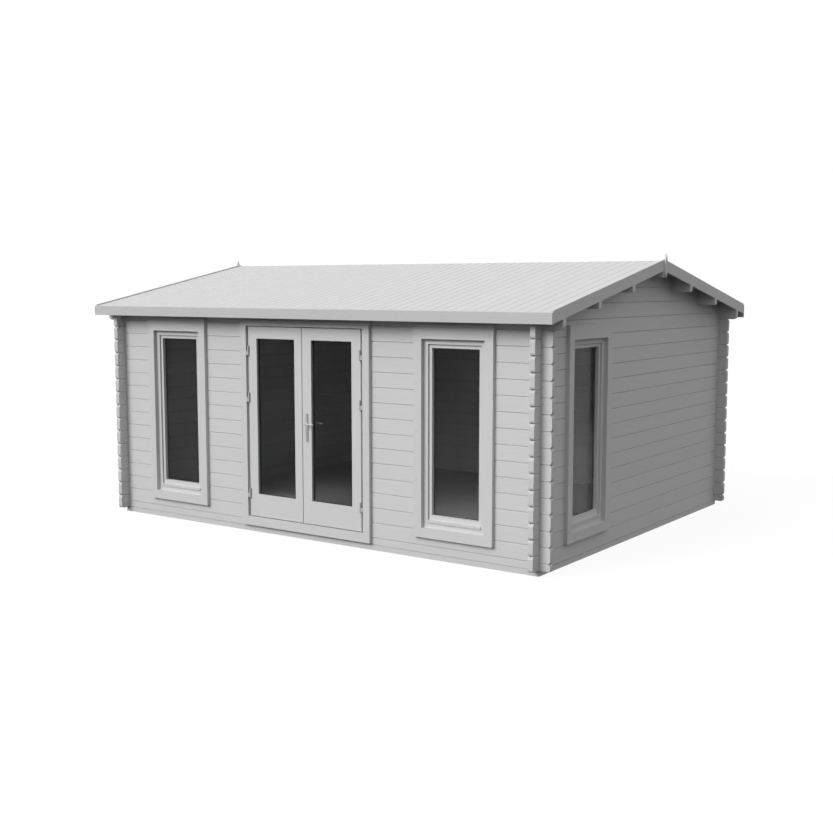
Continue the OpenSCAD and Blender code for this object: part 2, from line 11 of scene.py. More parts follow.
import bmesh
import bpy
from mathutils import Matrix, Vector


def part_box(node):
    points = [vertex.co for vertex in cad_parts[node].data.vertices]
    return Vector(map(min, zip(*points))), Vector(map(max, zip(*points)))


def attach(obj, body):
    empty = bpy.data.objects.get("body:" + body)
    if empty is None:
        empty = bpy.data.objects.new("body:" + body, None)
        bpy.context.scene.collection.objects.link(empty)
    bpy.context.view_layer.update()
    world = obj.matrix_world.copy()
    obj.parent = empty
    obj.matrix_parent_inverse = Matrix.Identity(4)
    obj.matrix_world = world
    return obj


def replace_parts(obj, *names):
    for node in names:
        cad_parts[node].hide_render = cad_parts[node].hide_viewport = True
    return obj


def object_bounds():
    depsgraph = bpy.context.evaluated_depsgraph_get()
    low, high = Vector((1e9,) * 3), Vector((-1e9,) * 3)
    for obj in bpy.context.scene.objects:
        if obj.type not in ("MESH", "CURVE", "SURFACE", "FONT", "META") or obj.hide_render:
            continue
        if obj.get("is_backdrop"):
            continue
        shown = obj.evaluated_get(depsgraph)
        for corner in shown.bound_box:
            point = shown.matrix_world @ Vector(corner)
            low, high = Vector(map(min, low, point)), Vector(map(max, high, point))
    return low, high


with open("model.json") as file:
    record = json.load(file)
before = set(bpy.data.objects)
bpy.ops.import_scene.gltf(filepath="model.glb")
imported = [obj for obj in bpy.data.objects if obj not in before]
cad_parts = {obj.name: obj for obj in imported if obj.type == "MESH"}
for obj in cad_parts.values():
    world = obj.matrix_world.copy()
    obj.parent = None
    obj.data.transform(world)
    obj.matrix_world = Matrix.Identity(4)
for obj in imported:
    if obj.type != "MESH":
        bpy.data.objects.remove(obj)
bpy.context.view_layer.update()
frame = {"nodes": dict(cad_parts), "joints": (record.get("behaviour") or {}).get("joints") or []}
nodes = frame["nodes"]

# %% [markdown]
# ## Where the solids are
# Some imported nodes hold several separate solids, such as the panes of three windows. Their places are not
# written down again here. They are read from the mesh itself: points that share an edge belong to the same
# solid, and the lowest and highest corners of each group make its box.

# %% Boxes of the separate solids in a node
WELD = 0.0001
SORT_DIGITS = 3


def solids(name):
    """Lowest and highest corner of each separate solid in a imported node, from left to right."""
    builder = bmesh.new()
    builder.from_mesh(nodes[name].data)
    bmesh.ops.remove_doubles(builder, verts=builder.verts, dist=WELD)
    waiting = set(builder.verts)
    boxes = []
    while waiting:
        found = [waiting.pop()]
        for point in found:
            for other in [edge.other_vert(point) for edge in point.link_edges]:
                if other in waiting:
                    waiting.remove(other)
                    found.append(other)
        low = Vector([min(point.co[i] for point in found) for i in range(3)])
        high = Vector([max(point.co[i] for point in found) for i in range(3)])
        boxes.append((low, high))
    builder.free()
    return sorted(boxes, key=lambda box: [round(box[0][i], SORT_DIGITS) for i in (0, 2, 1)])


panes = solids("window_panes")
print("window panes:", len(panes))

# %% [markdown]
# ## Small helpers for shader nodes
# A material in Blender is a small graph. Building graphs in code is easier with helpers: one adds a node and
# sets its inputs by name, another makes a node group whose sockets have names of their own. Groups are used
# for every effect that more than one finish needs, so grain is written once and reused everywhere.

# %% Helpers for shader graphs
def connect(tree, value, socket):
    """Links a socket to another one, or sets its plain value."""
    if isinstance(value, bpy.types.NodeSocket):
        tree.links.new(value, socket)
    else:
        socket.default_value = value


def feed(tree, node, **values):
    """Sets or links the named inputs of a node."""
    for key, value in values.items():
        connect(tree, value, node.inputs[key.replace("_", " ")])


def add(tree, kind, **settings):
    """Adds a shader node; each key is a property, the name of an input, or in0, in1 and so on by number."""
    node = tree.nodes.new(kind)
    for key, value in settings.items():
        if hasattr(node, key):
            setattr(node, key, value)
    for key, value in settings.items():
        if hasattr(node, key):
            continue
        if key.startswith("in"):
            connect(tree, value, node.inputs[int(key.removeprefix("in"))])
        else:
            feed(tree, node, **{key: value})
    return node


print("node helpers are ready")

# %% Helpers for sums, colours and noise
# A Mix node has sockets for numbers, vectors and colours; these are the numbers of the colour sockets.
MIX_FIRST = 6
MIX_SECOND = 7
MIX_RESULT = 2
HALF = 0.5


def maths(tree, operation, first, second=0.0, third=0.0):
    """One arithmetic step on values or sockets."""
    return add(tree, "ShaderNodeMath", operation=operation, in0=first, in1=second, in2=third).outputs[0]


def blend_colour(tree, factor, first, second, blend_type="MIX"):
    """Mixes two colours by a factor."""
    mix = add(tree, "ShaderNodeMix", data_type="RGBA", blend_type=blend_type, in0=factor)
    connect(tree, first, mix.inputs[MIX_FIRST])
    connect(tree, second, mix.inputs[MIX_SECOND])
    return mix.outputs[MIX_RESULT]


def noise(tree, place, scale, detail):
    """The value of a noise texture at a place."""
    return add(tree, "ShaderNodeTexNoise", Vector=place, Scale=scale, Detail=detail).outputs[0]


def grey(value):
    """A neutral paint colour."""
    return (value, value, value, 1)


WHITE = grey(1.0)
print("white is", WHITE)

# %% Helpers for node groups and new materials
def new_group(name, inputs, outputs):
    """Starts a shader node group with named sockets and returns its tree, input node and output node."""
    tree = bpy.data.node_groups.new(name, "ShaderNodeTree")
    for direction, sockets in (("INPUT", inputs), ("OUTPUT", outputs)):
        for title, kind in sockets.items():
            tree.interface.new_socket(title, in_out=direction, socket_type="NodeSocket" + kind)
    return tree, tree.nodes.new("NodeGroupInput"), tree.nodes.new("NodeGroupOutput")


def use_group(tree, group, **inputs):
    """Places a node group in a tree and sets or links its inputs."""
    node = tree.nodes.new("ShaderNodeGroup")
    node.node_tree = group
    feed(tree, node, **inputs)
    return node


def new_material(name):
    """An empty finish: the material, its graph, its surface shader and its coordinates."""
    material = bpy.data.materials.new(name)
    material.use_nodes = True
    tree = material.node_tree
    return material, tree, tree.nodes["Principled BSDF"], add(tree, "ShaderNodeTexCoord")


print("group helpers are ready")

# %% [markdown]
# ## Timber
# Softwood logs show long bands of early and late growth, fine fibres along the grain, and a knot here and
# there. An image of a plank would repeat and blur; noise that is stretched along the grain gives bands and
# fibres at their real size on every log. The group works on coordinates whose X runs along the grain, so one
# group serves logs, posts and rails once each material has turned its own coordinates.

# %% Textures that are stretched along the grain
BAND_SCALE = (1.1, 15.0, 15.0)
BAND_DETAIL = 4.0
BAND_TWIST = 0.6
FIBRE_SCALE = (9.0, 420.0, 420.0)
FIBRE_DETAIL = 2.0
KNOT_SCALE = (1.5, 6.0, 6.0)
SEED_STEP = 37.0

grain_tree, grain_in, grain_out = new_group(
    "timber_grain",
    {"Along Grain": "Vector", "Seed": "Float", "Pale": "Color", "Dark": "Color", "Figure": "Float"},
    {"Color": "Color", "Roughness": "Float", "Height": "Float"})
shift = maths(grain_tree, "MULTIPLY", grain_in.outputs["Seed"], SEED_STEP)
moved = add(grain_tree, "ShaderNodeCombineXYZ", X=shift, Y=shift)
grain_place = add(grain_tree, "ShaderNodeVectorMath", operation="ADD",
                  in0=grain_in.outputs["Along Grain"], in1=moved.outputs[0]).outputs[0]


def stretched(texture, scale, **settings):
    """A texture in the grain group whose coordinates are stretched along the grain."""
    mapped = add(grain_tree, "ShaderNodeMapping", Vector=grain_place, Scale=scale)
    return add(grain_tree, texture, Vector=mapped.outputs[0], Scale=1.0, **settings)


bands = stretched("ShaderNodeTexNoise", BAND_SCALE, Detail=BAND_DETAIL, Distortion=BAND_TWIST).outputs[0]
fibres = stretched("ShaderNodeTexNoise", FIBRE_SCALE, Detail=FIBRE_DETAIL).outputs[0]
knots = stretched("ShaderNodeTexVoronoi", KNOT_SCALE).outputs["Distance"]
print("timber_grain starts with", len(grain_tree.nodes), "nodes")

# %% Shader group: growth bands, fibres and knots
KNOT_REACH = 0.085
KNOT_HEART = 0.02
KNOT_DARK = 0.6
RIPPLES = 34.0
RIPPLE_SHARE = 0.25
FIBRE_ROUGH = 0.18
LEAST_ROUGH = 0.52
FIBRE_RELIEF = 0.6

knot_mask = add(grain_tree, "ShaderNodeMapRange", Value=knots, From_Min=KNOT_REACH, From_Max=KNOT_HEART,
                To_Min=0.0, To_Max=KNOT_DARK).outputs[0]
ripple = maths(grain_tree, "SINE", maths(grain_tree, "MULTIPLY", bands, RIPPLES))
band_value = maths(grain_tree, "MULTIPLY_ADD", ripple, RIPPLE_SHARE, bands)
figure = maths(grain_tree, "MULTIPLY", maths(grain_tree, "ADD", band_value, fibres), HALF)
dark_share = maths(grain_tree, "MULTIPLY", maths(grain_tree, "MAXIMUM", figure, knot_mask),
                   grain_in.outputs["Figure"])
feed(grain_tree, grain_out,
     Color=blend_colour(grain_tree, dark_share, grain_in.outputs["Pale"], grain_in.outputs["Dark"]),
     Roughness=maths(grain_tree, "MULTIPLY_ADD", fibres, FIBRE_ROUGH, LEAST_ROUGH),
     Height=maths(grain_tree, "MULTIPLY_ADD", fibres, FIBRE_RELIEF, band_value))
print("timber_grain has", len(grain_tree.nodes), "nodes")

# %% [markdown]
# Neighbouring logs come from different trees, so each course has its own tone and its own stretch of grain.
# The course number is just the height divided by the course height, rounded down; white noise turns that
# number into a random but repeatable value. The distance to the nearest joint between two courses comes from
# the same position; a dark band there is partly dust and partly painted shade in the groove.

# %% Shader group: seed, tone and joint band of dust and painted shade for each course or board
seed_tree, seed_in, seed_out = new_group(
    "course_seed",
    {"Position": "Float", "Start": "Float", "Pitch": "Float", "Spread": "Float", "Reach": "Float"},
    {"Seed": "Float", "Tone": "Float", "Joint": "Float"})
pitch = seed_in.outputs["Pitch"]
offset = maths(seed_tree, "SUBTRACT", seed_in.outputs["Position"], seed_in.outputs["Start"])
number = maths(seed_tree, "FLOOR", maths(seed_tree, "DIVIDE", offset, pitch))
random_value = add(seed_tree, "ShaderNodeTexWhiteNoise", noise_dimensions="1D", W=number).outputs["Value"]
centred = maths(seed_tree, "SUBTRACT", random_value, HALF)
to_joint = maths(seed_tree, "PINGPONG", offset, maths(seed_tree, "MULTIPLY", pitch, HALF))
joint = maths(seed_tree, "SUBTRACT", 1.0, maths(seed_tree, "DIVIDE", to_joint, seed_in.outputs["Reach"]))
feed(seed_tree, seed_out,
     Seed=random_value,
     Tone=maths(seed_tree, "MULTIPLY_ADD", centred, seed_in.outputs["Spread"], 1.0),
     Joint=add(seed_tree, "ShaderNodeClamp", Value=joint).outputs[0])
print("course_seed has", len(seed_tree.nodes), "nodes")

# %% [markdown]
# The cut ends of the logs show growth rings instead of long grain. The object's own normal tells where a
# face looks along the log, and rings about the heart of each log are drawn there.

# %% Shader group: growth rings on the cut ends
RING_SPACING = 0.0045
END_FACING = 0.6
WOBBLE_SCALE = 30.0
WOBBLE_DETAIL = 2.0

ring_tree, ring_in, ring_out = new_group(
    "end_rings",
    {"Across": "Float", "Up": "Float", "Facing": "Float", "Seed": "Float"},
    {"Mask": "Float", "Rings": "Float"})
across = ring_in.outputs["Across"]
up = ring_in.outputs["Up"]
ring_place = add(ring_tree, "ShaderNodeCombineXYZ", X=across, Y=up, Z=ring_in.outputs["Seed"])
wobble = noise(ring_tree, ring_place.outputs[0], WOBBLE_SCALE, WOBBLE_DETAIL)
squares = [maths(ring_tree, "MULTIPLY", side, side) for side in (across, up)]
radius = maths(ring_tree, "SQRT", maths(ring_tree, "ADD", *squares))
radius = maths(ring_tree, "MULTIPLY_ADD", wobble, RING_SPACING, radius)
wave = maths(ring_tree, "SINE", maths(ring_tree, "MULTIPLY", radius, math.tau / RING_SPACING))
facing = maths(ring_tree, "ABSOLUTE", ring_in.outputs["Facing"])
feed(ring_tree, ring_out,
     Rings=maths(ring_tree, "MULTIPLY_ADD", wave, HALF, HALF),
     Mask=maths(ring_tree, "GREATER_THAN", facing, END_FACING))
print("end_rings has", len(ring_tree.nodes), "nodes")

# %% [markdown]
# Rain splashes a little soil against the lowest timber. A soft band fades out above the ground, broken up by
# noise, and all the timber shares it.

# %% Shader group: splash marks near the ground
CLOUD_SCALE = 9.0
CLOUD_DETAIL = 5.0

splash_tree, splash_in, splash_out = new_group(
    "ground_splash", {"Place": "Vector", "Reach": "Float"}, {"Mask": "Float"})
height = add(splash_tree, "ShaderNodeSeparateXYZ", Vector=splash_in.outputs["Place"]).outputs["Z"]
cloud = noise(splash_tree, splash_in.outputs["Place"], CLOUD_SCALE, CLOUD_DETAIL)
fade = maths(splash_tree, "SUBTRACT", 1.0, maths(splash_tree, "DIVIDE", height, splash_in.outputs["Reach"]))
broken = maths(splash_tree, "MULTIPLY", fade, maths(splash_tree, "MULTIPLY", cloud, cloud))
feed(splash_tree, splash_out, Mask=add(splash_tree, "ShaderNodeClamp", Value=broken).outputs[0])
print("ground_splash has", len(splash_tree.nodes), "nodes")

# %% [markdown]
# Each timber finish is one material built from these groups. The direction of the grain is a turn of the
# object's coordinates, so a log along Y, a jamb along Z and a rail along X can all use the same groups. A
# finish that is told where the heart of its logs lies also gets rings on its cut ends.

# %% Turns, colours and shares that all timber finishes use
TURN = {"x": (0.0, 0.0, 0.0), "y": (0.0, 0.0, math.radians(90)), "z": (0.0, math.radians(90), 0.0)}
AXIS = {"x": 0, "y": 1, "z": 2}
SPLASH_COLOUR = grey(0.36)
SPLASH_SHARE = 0.2
SPLASH_REACH = 0.3
# Dust in the joints, darkened further as painted shade in the grooves between courses and boards.
JOINT_DUST_AND_SHADE_COLOUR = grey(0.16)
JOINT_DUST_AND_SHADE_REACH = 0.007
RING_CONTRAST = 0.5
RING_LEAST = 0.25
GRAIN_DEPTH = 0.0012
GRAIN_BUMP = 0.25
TIMBER_GLOSS = 0.25
print("splash reaches", SPLASH_REACH, "m up, joint dust", JOINT_DUST_AND_SHADE_REACH, "m")

# %% One timber finish
def timber(name, along, tones, rows, spread, heart=None, dust=0.0):
    """Grain along one axis, a tone per row of logs or boards, and dust and painted shade in the joints."""
    material, tree, surface, coordinates = new_material(name)
    pale, dark, figure = tones
    vary, start, pitch = rows
    place = coordinates.outputs["Object"]
    parts = add(tree, "ShaderNodeSeparateXYZ", Vector=place)
    course = use_group(tree, seed_tree, Position=parts.outputs[AXIS[vary]], Start=start, Pitch=pitch,
                       Spread=spread, Reach=JOINT_DUST_AND_SHADE_REACH)
    seed = course.outputs["Seed"]
    tone = course.outputs["Tone"]
    grain_way = add(tree, "ShaderNodeMapping", Vector=place, Rotation=TURN[along])
    grain = use_group(tree, grain_tree, Along_Grain=grain_way.outputs[0], Seed=seed, Pale=pale, Dark=dark,
                      Figure=figure)
    bright = add(tree, "ShaderNodeCombineColor", Red=tone, Green=tone, Blue=tone)
    colour = blend_colour(tree, 1.0, grain.outputs["Color"], bright.outputs[0], "MULTIPLY")
    if heart:
        heart_axis, heart_place = heart
        normal = add(tree, "ShaderNodeSeparateXYZ", Vector=coordinates.outputs["Normal"])
        above = maths(tree, "FLOORED_MODULO", maths(tree, "SUBTRACT", parts.outputs["Z"], start), pitch)
        from_middle = maths(tree, "ABSOLUTE", parts.outputs[AXIS[heart_axis]])
        ends = use_group(tree, ring_tree, Across=maths(tree, "SUBTRACT", from_middle, heart_place),
                         Up=maths(tree, "SUBTRACT", above, pitch / 2), Facing=normal.outputs[AXIS[along]],
                         Seed=seed)
        ring_tone = maths(tree, "MULTIPLY_ADD", ends.outputs["Rings"], RING_CONTRAST, RING_LEAST)
        colour = blend_colour(tree, maths(tree, "MULTIPLY", ends.outputs["Mask"], ring_tone), colour, dark)
    # The joint band is partly dust and partly painted shade in the groove.
    dust_and_shade_share = maths(tree, "MULTIPLY", course.outputs["Joint"], dust)
    colour = blend_colour(tree, dust_and_shade_share, colour, JOINT_DUST_AND_SHADE_COLOUR)
    splash = use_group(tree, splash_tree, Place=place, Reach=SPLASH_REACH)
    splashed = maths(tree, "MULTIPLY", splash.outputs["Mask"], SPLASH_SHARE)
    colour = blend_colour(tree, splashed, colour, SPLASH_COLOUR)
    relief = grain.outputs["Height"]
    bump = add(tree, "ShaderNodeBump", Height=relief, Strength=GRAIN_BUMP, Distance=GRAIN_DEPTH)
    feed(tree, surface, Base_Color=colour, Roughness=grain.outputs["Roughness"], Normal=bump.outputs[0],
         Specular_IOR_Level=TIMBER_GLOSS)
    return material


print("one timber recipe is ready")

# %% [markdown]
# The recipe now makes every finish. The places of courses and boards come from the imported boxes, so that the
# tones change exactly at the joints.

# %% Rows of logs and boards
COURSE = 0.131
GABLE_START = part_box("long_bearers")[1].z
FRONT_START = GABLE_START + COURSE / 2
wall_low, wall_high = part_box("front_logs_even")
WALL_Y = -(wall_low.y + wall_high.y) / 2
side_low, side_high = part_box("right_gable_logs_even")
WALL_X = (side_low.x + side_high.x) / 2
deck_low, deck_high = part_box("front_roof_deck")
ROOF_HALF = deck_high.x
BOARD_COUNT = 51
BOARD = 2 * ROOF_HALF / BOARD_COUNT
floor_low, floor_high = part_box("floor_deck")
FLOOR_COUNT = 32
FLOOR_BOARD = (floor_high.y - floor_low.y) / FLOOR_COUNT
BEAM_PITCH = 0.311
TRIM_PITCH = 2.0
JAMB_PITCH = 0.65
RAIL_PITCH = 0.9
JOIST_PITCH = 0.6
print("roof boards", round(BOARD, 4), "m wide, floor boards", round(FLOOR_BOARD, 4), "m wide")

# %% All timber finishes
# Each kind of timber has its palest tone, its darkest tone, and how strongly the figure shows.
LOG = (grey(0.625), grey(0.53), 0.5)
BASE = (grey(0.625), grey(0.53), 0.6)
TRIM = (grey(0.61), grey(0.53), 0.4)
# The eave boards take the trim tone painted darker, as painted shade of boards that lean with the roof.
SHADED_EAVE = (grey(0.53), grey(0.45), 0.4)
# The gable boards take the same trim tone painted darker, as painted shade on the gable sides.
SHADED_BARGE = (grey(0.57), grey(0.49), 0.4)
ROOF = (grey(0.56), grey(0.49), 0.45)
INSIDE = (grey(0.56), grey(0.43), 0.55)
LOG_SPREAD = 0.025
TRIM_SPREAD = 0.02
BEARER_SPREAD = 0.03
JOIST_SPREAD = 0.04
FLOOR_SPREAD = 0.06
# How strongly dust and painted groove shade darken the joints of each kind of timber.
LONG_DUST_AND_SHADE = 0.28
GABLE_DUST_AND_SHADE = 0.32
ROOF_DUST_AND_SHADE = 0.2
FLOOR_DUST_AND_SHADE = 0.3

long_logs = timber("log_timber_long_walls", "x", LOG, ("z", FRONT_START, COURSE), LOG_SPREAD,
                   heart=("y", WALL_Y), dust=LONG_DUST_AND_SHADE)
gable_logs = timber("log_timber_gables", "y", LOG, ("z", GABLE_START, COURSE), LOG_SPREAD,
                    heart=("x", WALL_X), dust=GABLE_DUST_AND_SHADE)
beams = timber("beam_timber", "x", LOG, ("y", 0.0, BEAM_PITCH), LOG_SPREAD)
roof_timber = timber("roof_board_timber", "y", ROOF, ("x", -ROOF_HALF, BOARD), TRIM_SPREAD, dust=ROOF_DUST_AND_SHADE)
trim_x = timber("trim_timber_eaves_shaded", "x", SHADED_EAVE, ("y", 0.0, TRIM_PITCH), TRIM_SPREAD)
trim_y = timber("trim_timber_gables_shaded", "y", SHADED_BARGE, ("x", 0.0, TRIM_PITCH), TRIM_SPREAD)
joinery_z = timber("joinery_timber_upright", "z", TRIM, ("x", 0.0, JAMB_PITCH), TRIM_SPREAD)
joinery_x = timber("joinery_timber_level", "x", TRIM, ("z", 0.0, RAIL_PITCH), TRIM_SPREAD)
base_timber = timber("base_timber", "x", BASE, ("y", 0.0, TRIM_PITCH), BEARER_SPREAD)
base_cross = timber("base_timber_cross", "y", BASE, ("x", 0.0, JOIST_PITCH), JOIST_SPREAD)
floor_timber = timber("floor_board_timber", "x", INSIDE, ("y", floor_low.y, FLOOR_BOARD), FLOOR_SPREAD,
                      dust=FLOOR_DUST_AND_SHADE)
print("timber finishes:", sum("timber" in material.name for material in bpy.data.materials))

# %% [markdown]
# ## Glass, metal and rubber
# Clear glass is mostly what it reflects and what lies behind it, so it needs little more than a smooth
# surface that lets light through, and a trace of dust that shows as a change in tint and roughness. The
# handle plates are brushed metal; the lever and the hinges have a pale coat. The seals are dull dark rubber.

# %% Glass and rubber finishes
GLASS_TINTS = (grey(0.9), grey(0.96))
GLASS_IOR = 1.12
FILM_SCALE = 6.0
FILM_DETAIL = 5.0
FILM_ROUGH = 0.04
RUBBER_TONES = (grey(0.06), grey(0.1))
RUBBER_ROUGH = 0.6
MOTTLE_SCALE = 160.0
MOTTLE_DETAIL = 3.0
MOTTLE_ROUGH = 0.2


def window_glass():
    """Clear glazing with a faint film of dust."""
    material, tree, surface, coordinates = new_material("window_glass")
    film = noise(tree, coordinates.outputs["Object"], FILM_SCALE, FILM_DETAIL)
    feed(tree, surface, Base_Color=blend_colour(tree, film, *GLASS_TINTS),
         Roughness=maths(tree, "MULTIPLY", film, FILM_ROUGH), Transmission_Weight=1.0, IOR=GLASS_IOR)
    return material


def seal_rubber():
    """Dull dark rubber for glazing seals and the keyhole."""
    material, tree, surface, coordinates = new_material("seal_rubber")
    mottle = noise(tree, coordinates.outputs["Object"], MOTTLE_SCALE, MOTTLE_DETAIL)
    feed(tree, surface, Base_Color=blend_colour(tree, mottle, *RUBBER_TONES),
         Roughness=maths(tree, "MULTIPLY_ADD", mottle, MOTTLE_ROUGH, RUBBER_ROUGH))
    return material


glass = window_glass()
rubber = seal_rubber()
print("made", glass.name, "and", rubber.name)

# %% Metal finishes
PLATE_TONES = (grey(0.30), grey(0.38))
LEVER_TONES = (grey(0.42), grey(0.50))
HINGE_TONES = (grey(0.38), grey(0.44))
BARE_METAL = 0.9
COATED_METAL = 0.2
METAL_ROUGH = 0.28
BRUSH_SCALE = (900.0, 900.0, 30.0)
BRUSH_DETAIL = 3.0
BRUSH_ROUGH = 0.2
BRUSH_BUMP = 0.1
BRUSH_DEPTH = 0.0002


def satin_metal(name, tones, metallic):
    """Brushed metal for hinges and door furniture."""
    material, tree, surface, coordinates = new_material(name)
    mapped = add(tree, "ShaderNodeMapping", Vector=coordinates.outputs["Object"], Scale=BRUSH_SCALE)
    brushed = noise(tree, mapped.outputs[0], 1.0, BRUSH_DETAIL)
    bump = add(tree, "ShaderNodeBump", Height=brushed, Strength=BRUSH_BUMP, Distance=BRUSH_DEPTH)
    feed(tree, surface, Base_Color=blend_colour(tree, brushed, *tones), Metallic=metallic,
         Roughness=maths(tree, "MULTIPLY_ADD", brushed, BRUSH_ROUGH, METAL_ROUGH), Normal=bump.outputs[0])
    return material


metal = satin_metal("satin_metal", PLATE_TONES, BARE_METAL)
bright_metal = satin_metal("bright_metal", LEVER_TONES, COATED_METAL)
coated = satin_metal("coated_metal", HINGE_TONES, COATED_METAL)
print("made", metal.name, bright_metal.name, "and", coated.name)

# %% [markdown]
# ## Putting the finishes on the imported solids
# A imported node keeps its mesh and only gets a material. Each node is listed with the finish whose grain runs
# along it.

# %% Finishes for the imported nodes
FINISH = {
    long_logs: ("front_logs_even", "front_logs_odd", "back_logs_even", "back_logs_odd"),
    gable_logs: ("left_gable_logs_even", "left_gable_logs_odd", "right_gable_logs_even",
                 "right_gable_logs_odd"),
    beams: ("front_plate", "back_plate", "ridge_purlin", "front_purlins", "back_purlins"),
    roof_timber: ("front_roof_deck", "back_roof_deck"),
    trim_x: ("front_eave_board", "back_eave_board"),
    trim_y: ("front_gable_boards", "back_gable_boards"),
    joinery_z: ("gable_spikes", "window_jambs", "window_sashes", "door_jambs", "left_door_stiles",
                "right_door_stiles"),
    joinery_x: ("window_rails", "door_head", "door_threshold", "left_door_rails", "right_door_rails"),
    base_timber: ("long_bearers",),
    base_cross: ("cross_bearers",),
    floor_timber: ("floor_deck",),
    glass: ("window_panes", "left_door_pane", "right_door_pane"),
    coated: ("jamb_hinge_halves", "left_leaf_hinge_halves", "right_leaf_hinge_halves"),
    metal: ("handle_plates",),
    bright_metal: ("lever_handle",),
}
for finish, names in FINISH.items():
    for name in names:
        nodes[name].data.materials.clear()
        nodes[name].data.materials.append(finish)
print("finished nodes:", sum(len(names) for names in FINISH.values()))

# %% [markdown]
# ## Boards on the roof and the floor
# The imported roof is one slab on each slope. The real one is a row of boards, bevelled along their edges, so
# that a fine groove shows between each pair from above and from below. Every board is the same eight-sided
# section. One helper joins rings of points into a closed form, and nearly every piece below is made with it.

# %% Helpers that build pieces
def piece(name, builder, finish, body):
    """Turns a finished bmesh into an object that rides on a body."""
    mesh = bpy.data.meshes.new(name)
    bmesh.ops.recalc_face_normals(builder, faces=builder.faces)
    builder.to_mesh(mesh)
    builder.free()
    mesh.materials.append(finish)
    made = bpy.data.objects.new(name, mesh)
    bpy.context.scene.collection.objects.link(made)
    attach(made, body)
    print(name, "faces:", len(mesh.polygons))
    return made


def join_rings(builder, rings, loop=False):
    """Joins rings of points, one after the other; the ends are closed, or joined to each other in a loop."""
    made = [[builder.verts.new(point) for point in ring] for ring in rings]
    pairs = list(zip(made, made[1:]))
    if loop:
        pairs.append((made[-1], made[0]))
    for first, second in pairs:
        for i in range(len(first)):
            j = (i + 1) % len(first)
            builder.faces.new((first[i], first[j], second[j], second[i]))
    if not loop:
        builder.faces.new(made[0][::-1])
        builder.faces.new(made[-1])


def board_section(start, width, thickness, bevel):
    """Corner points of a board's section: position across the row, and height above its underside."""
    end = start + width
    return [(start, bevel), (start + bevel, 0), (end - bevel, 0), (end, bevel), (end, thickness - bevel),
            (end - bevel, thickness), (start + bevel, thickness), (start, thickness - bevel)]


print("piece helpers are ready")

# %% The roof boards
ROOF_BEVEL = 0.0035
BOARD_GAP = 0.0006
DECK_T = 0.018
DECK_END = -deck_low.y
ROOF_PITCH = math.radians(11.5)
RISE_PLUMB = 1 / math.cos(ROOF_PITCH)
DECK_RIDGE = deck_low.z + DECK_END * math.tan(ROOF_PITCH)


def roof_slope(name, side, node):
    """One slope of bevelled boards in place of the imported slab, cut plumb at the ridge and at the eave."""
    builder = bmesh.new()
    for i in range(BOARD_COUNT):
        section = board_section(-ROOF_HALF + i * BOARD + BOARD_GAP / 2, BOARD - BOARD_GAP, DECK_T, ROOF_BEVEL)
        ridge = [(x, 0, DECK_RIDGE + rise * RISE_PLUMB) for x, rise in section]
        eave = [(x, -side * DECK_END, deck_low.z + rise * RISE_PLUMB) for x, rise in section]
        join_rings(builder, [ridge, eave])
    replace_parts(piece(name, builder, roof_timber, "cabin"), node)


roof_slope("front_roof_boards", 1, "front_roof_deck")
roof_slope("back_roof_boards", -1, "back_roof_deck")
print("ridge of the boards at", round(DECK_RIDGE + DECK_T * RISE_PLUMB, 4), "deck", round(deck_high.z, 4))

# %% The floor boards
FLOOR_BEVEL = 0.002
builder = bmesh.new()
for i in range(FLOOR_COUNT):
    section = board_section(floor_low.y + i * FLOOR_BOARD + BOARD_GAP / 2, FLOOR_BOARD - BOARD_GAP,
                            floor_high.z - floor_low.z, FLOOR_BEVEL)
    join_rings(builder, [[(x, y, floor_low.z + z) for y, z in section] for x in (floor_low.x, floor_high.x)])
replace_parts(piece("floor_boards", builder, floor_timber, "cabin"), "floor_deck")

# %% [markdown]
# ## Seals round the glass
# A pane is held by a low dark seal outside and a deeper dark liner inside; the liner's dark rubber is partly
# a gasket and partly painted shade in the recess round the glass. Both are mitred frames: the same section
# stands at each corner of the opening, and the four sections are joined in a loop. A face is described by its
# axis, its place on that axis and the way it looks, so one helper serves every wall.

# %% Mitred frames
SEAT = 0.0002
PANE_HIDDEN = 0.009
SEAL_W = 0.0025
SEAL_RISE = 0.002
SEAL_LIP_SHARE = 0.7
LINER_W = 0.003
LINER_FOOT_SHARE = 0.25
LINER_EDGE_SHARE = 0.4


def on_face(axis, face, out):
    """A function that places points given across a face, up it, and out from it."""
    if axis == "x":
        return lambda across, up, rise: (face + out * rise, across, up)
    if axis == "y":
        return lambda across, up, rise: (across, face + out * rise, up)
    return lambda across, up, rise: (across, up, face + out * rise)


def mitred(builder, place, low, high, section):
    """A frame inside an opening; the section is given inwards from the edge and out from the glass."""
    corners = ((low[0], low[1], 1, 1), (high[0], low[1], -1, 1), (high[0], high[1], -1, -1),
               (low[0], high[1], 1, -1))
    join_rings(builder, [[place(u + du * inward, v + dv * inward, rise) for inward, rise in section]
                         for u, v, du, dv in corners], loop=True)


def seal_section():
    """A low seal with a sloping lip."""
    return [(SEAT, SEAT), (SEAL_W, SEAT), (SEAL_W * SEAL_LIP_SHARE, SEAL_RISE), (SEAT, SEAL_RISE)]


def shade_liner_section(depth):
    """A thin liner on the opening's inner edge, thicker at its foot on the glass, its dark partly painted
    shade.
    """
    return [(SEAT, SEAT), (LINER_W, SEAT), (LINER_W, depth * LINER_FOOT_SHARE),
            (LINER_W * LINER_EDGE_SHARE, depth), (SEAT, depth)]


print("seal", SEAL_W, "m wide, liner", LINER_W, "m wide")

# %% Seals and liners on every pane
# Depth of the dark lining inside each pane, partly painted shade in the recess round the glass.
WINDOW_SHADE_LINER = 0.0065
DOOR_SHADE_LINER = 0.018
UPRIGHT = AXIS["z"]


